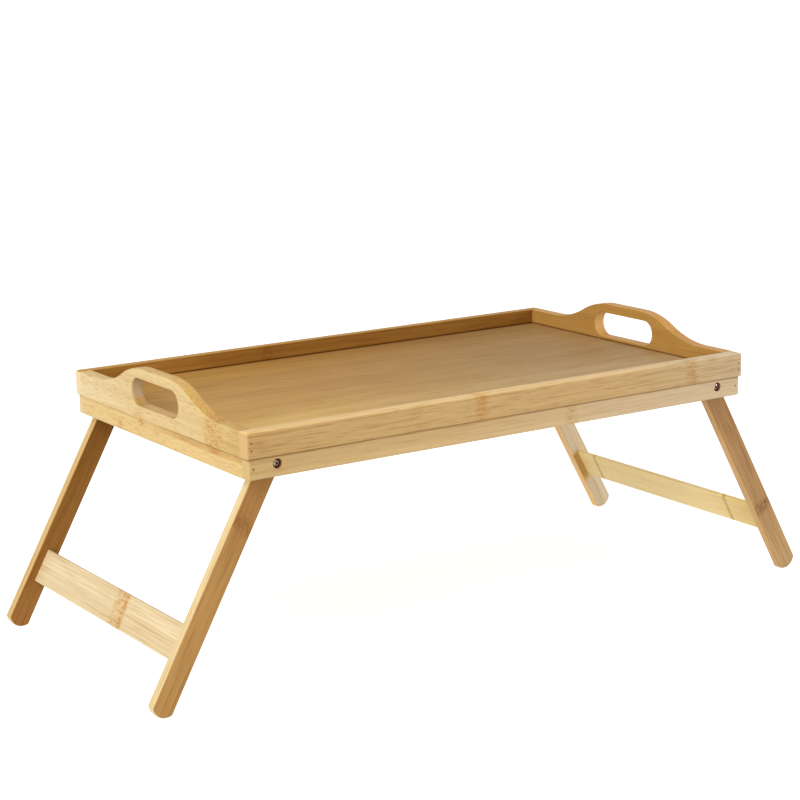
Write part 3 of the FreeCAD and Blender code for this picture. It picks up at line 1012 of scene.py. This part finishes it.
barLooks = {
    "left_crossbar": {
        "colour": (212, 192, 152), "top": (0.84, 0.82, 0.72),
        "grain": {
            "Seed": 14.0, "Streak Width": 0.003, "Streak Contrast": 0.9, "Fibre Length": 0.06,
            "Fibre Width": 0.0009, "Fibre Amount": 0.65, "Line Amount": 0.5,
        },
        "knuckles": [
            {"Place": -0.01, "Width": 0.005, "Slant": -0.12, "Amount": 1.0, "Broken": 0.4,
             "Tint": (0.82, 0.58, 0.3)},
            {"Place": -0.001, "Width": 0.014, "Slant": -0.12, "Amount": 1.0, "Tint": (0.82, 0.6, 0.34)},
        ],
    },
    "right_crossbar": {
        # Its colour is set much paler than the left bar's as painted light, standing in for light that the
        # tray keeps off it.
        "colour": (255, 226, 164), "spread": 0.8, "grain": {"Seed": 15.0, "Line Amount": 0.15},
        "patches": [toned((0.7, 0.61, 0.42), x=(-0.135, 0.09))],
        "knuckles": [
            dict(thinBand, Place=0.104, Width=0.003, Wander=0.001),
            dict(thinBand, Place=-0.086, Width=0.0036, Wander=0.002),
        ],
    },
}


def swingOut(bm, side):
    # From upright with the pivot at the origin to the open stance of that side.
    turn = Matrix.Rotation(math.radians(-side * legSizes["splay"]), 3, "Y")
    bmesh.ops.rotate(bm, cent=(0, 0, 0), matrix=turn, verts=bm.verts)
    bmesh.ops.translate(bm, vec=(side * pivotX, 0, pivotZ), verts=bm.verts)


def legShape(low, high, side):
    size = legSizes
    half = size["width"] / 2
    footRadius = (half ** 2 + size["crown"] ** 2) / (2 * size["crown"])
    footCentre = footRadius - size["reach"]
    shoulder = footCentre - math.sqrt(footRadius ** 2 - half ** 2)
    footTurn = 2 * math.asin(half / footRadius)
    bm = bmesh.new()
    footStart = bm.verts.new((-half, low.y, shoulder))
    topStart = bm.verts.new((half, low.y, 0))
    footEnd = sweep(bm, footStart, (0, low.y, footCentre), (0, -1, 0), footTurn, size["footSteps"])
    topEnd = sweep(bm, topStart, (0, low.y, 0), (0, -1, 0), math.pi, size["topSteps"])
    bm.edges.new((footEnd, topStart))
    bm.edges.new((topEnd, footStart))
    thicken(bm, (0, high.y - low.y, 0))
    bmesh.ops.recalc_face_normals(bm, faces=bm.faces)
    roundEdges(bm, size["edge"], lambda a, b: near(a.y, b.y))
    swingOut(bm, side)
    return bm


def barShape(low, high, side):
    bottom = barSizes["aboveTip"] - legSizes["reach"]
    half = barSizes["thickness"] / 2
    bm = boxShape((-half, low.y, bottom), (half, high.y, bottom + barSizes["height"]))
    roundEdges(bm, barSizes["edge"], lambda a, b: not near(a.y, b.y))
    swingOut(bm, side)
    return bm


def makeLegPairs():
    for name, side in (("left", -1), ("right", 1)):
        splay = side * legSizes["splay"]
        for part in ("_front_leg", "_back_leg"):
            node = name + part
            look = dict(legLooks[node], origin=(side * pivotX, 0, pivotZ), turn=(0, 90 - splay, 0))
            addBoard(node, "_board", legShape(*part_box(node), side), look, name + "_legs")
        node = name + "_crossbar"
        look = dict(barLooks[node], origin=(side * pivotX, 0, pivotZ), turn=(-splay, 0, 90))
        addBoard(node, "_slat", barShape(*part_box(node), side), look, name + "_legs")


makeLegPairs()
print("leg pairs are made")


# Pivot hardware, made at the front of an upright leg and swung out with it

screwSizes = {
    "radius": 1.5 * mm, "headHeight": 2.4 * mm, "seat": -144.35 * mm, "tail": -124.35 * mm,
    "tailEdge": 0.3 * mm, "tailInset": 0.35 * mm, "pitch": 0.5 * mm, "threads": 5, "threadDepth": 0.22 * mm,
    "crossLength": 3.5 * mm, "crossWidth": 1.4 * mm, "crossDepth": 1.4 * mm, "crossTaper": 0.62,
    "clear": 0.2 * mm,
    "head": (  # radius and depth below the crown, in millimetres
        (0.0, 0.0), (0.9, 0.05), (1.6, 0.17), (2.15, 0.42),
        (2.55, 0.8), (2.8, 1.25), (2.8, 2.25), (2.65, 2.4),
    ),
}
washerSizes = {
    "hole": 1.55 * mm, "radius": 4.5 * mm, "edge": 0.2 * mm, "outer": -138.95 * mm, "inner": -137.95 * mm,
}
nutSizes = {
    "corner": 3.17 * mm, "face": -128.95 * mm, "flats": 2.7 * mm, "height": 4.0 * mm, "edge": 0.25 * mm,
    "collar": 2.6 * mm, "collarLap": 0.4 * mm, "collarDome": ((0.0, 0.7), (0.25, 0.2), (0.6, 0.0)),
    "ring": 2.0 * mm, "ringLap": 0.2 * mm, "ringDrop": 0.25 * mm,
}
screwLook = {"bright": (214, 188, 174), "dull": (154, 128, 118), "metal": 0.85, "bores": [
    # Painted shade down in the driver's recess of the head.
    {"Tint": (0.12, 0.08, 0.07), "Centre X": pivotX, "Centre Z": pivotZ, "Radius": 0.0019,
     "Face": 0.1465, "Deep": 0.0003},
]}
nutLook = {"bright": (196, 196, 194), "dull": (150, 150, 148), "metal": 0.95}
ringLook = {"bright": (226, 228, 226), "dull": (206, 210, 210), "metal": 0.0}


def screwShape():
    size = screwSizes
    top = size["seat"] - size["headHeight"]
    radius, neck = size["radius"], size["tail"] - size["tailEdge"]
    points = [(reach * mm, top + down * mm) for reach, down in size["head"]] + [(radius, size["seat"])]
    start = neck - size["threads"] * size["pitch"]
    for turn in range(size["threads"]):
        points += [(radius, start + turn * size["pitch"]),
                   (radius - size["threadDepth"], start + (turn + 0.5) * size["pitch"])]
    return turned(points + [(radius, neck), (radius - size["tailInset"], size["tail"]), (0, size["tail"])])


def crossCutters():
    # Two tapered bars for the driver's recess.
    size = screwSizes
    top = size["seat"] - size["headHeight"]
    spans = size["crossLength"], size["crossWidth"]
    cutters = []
    for length, width in (spans, spans[::-1]):
        low = (-length / 2, top - size["clear"], -width / 2)
        bm = boxShape(low, (length / 2, top + size["crossDepth"], width / 2))
        deep = [vert for vert in bm.verts if vert.co.y > top]
        bmesh.ops.scale(bm, vec=(size["crossTaper"], 1.0, size["crossTaper"]), verts=deep)
        cutters.append(bm)
    return cutters


def washerShape():
    hole, radius, edge, outer, inner = washerSizes.values()
    return turned([(hole, outer), (radius - edge, outer), (radius, outer + edge), (radius, inner - edge),
                   (radius - edge, inner), (hole, inner), (hole, outer)])


def nutShape():
    # Hexagon with a domed collar.
    size = nutSizes
    hexagon = rodShape(size["corner"], (0, size["face"], 0), size["flats"], steps=6)
    roundEdges(hexagon, size["edge"], lambda a, b: near(a.y, b.y), steps=2)
    crown = size["face"] + size["height"]
    start = size["face"] + size["flats"] - size["collarLap"]
    dome = [(size["collar"] - inset * mm, crown - down * mm) for inset, down in size["collarDome"]]
    collar = turned([(size["ring"], start), (size["collar"], start)] + dome
                    + [(size["ring"], crown), (size["ring"], start)])
    return joined([hexagon, collar])


def ringShape():
    # Nylon ring in the collar, which grips the thread.
    size = nutSizes
    crown = size["face"] + size["height"] - size["ringDrop"]
    start = size["face"] + size["flats"] - size["ringLap"]
    hole = screwSizes["radius"]
    return turned([(hole, start), (size["ring"], start), (size["ring"], crown), (hole, crown), (hole, start)])


def fitted(bm, place, side):
    # The back leg's hardware is the front one's turned half round.
    if place == "back":
        bmesh.ops.rotate(bm, cent=(0, 0, 0), matrix=Matrix.Rotation(math.pi, 3, "Z"), verts=bm.verts)
    swingOut(bm, side)
    return bm


def makeHardware():
    screwSteel = steelMaterial("screwSteel", screwLook)
    nutSteel = steelMaterial("nutSteel", nutLook)
    ringNylon = steelMaterial("ringNylon", ringLook)
    for name, side in (("left", -1), ("right", 1)):
        for place in ("front", "back"):
            stem, body = name + "_" + place, name + "_legs"
            recess = [fitted(bm, place, side) for bm in crossCutters()]
            for ending, bm, material, nodes, finish, cutters in (
                ("_screw_turned", screwShape(), screwSteel, [stem + "_pivot_screw"], "screw_steel", recess),
                ("_washer_turned", washerShape(), nutSteel, [stem + "_washer"], "nut_steel", ()),
                ("_nut_shaped", nutShape(), nutSteel, [stem + "_lock_nut"], "nut_steel", ()),
                ("_nut_ring", ringShape(), ringNylon, [], "nut_steel", ()),
            ):
                addPiece(stem + ending, fitted(bm, place, side), material, body, nodes, cutters)


makeHardware()
print("hardware is made")
